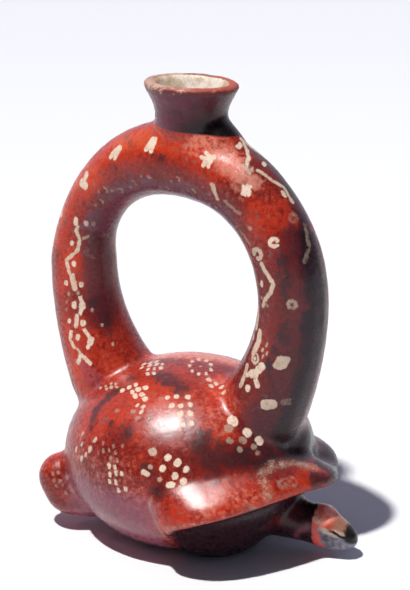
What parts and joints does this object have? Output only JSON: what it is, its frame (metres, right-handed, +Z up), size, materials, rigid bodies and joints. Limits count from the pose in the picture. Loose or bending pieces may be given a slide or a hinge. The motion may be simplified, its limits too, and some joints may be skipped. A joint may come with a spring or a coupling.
{
  "type": "stirrup spout vessel",
  "caption": "Hollow red-slipped earthenware stirrup spout vessel: turtle-like body with flared brim and beaked head, cream dots, wide arch, short flared spout.",
  "frame": {"origin": "on the flat underside, below the centre of the body, at ground level", "axes": "+X towards the animal's head, +Y to its left, +Z up"},
  "size_m": [0.1711, 0.1291, 0.2355],
  "materials": {
    "slipped_clay": "gloss"
  },
  "bodies": {
    "root": {"vessel": "slipped_clay"}
  },
  "joints": []
}
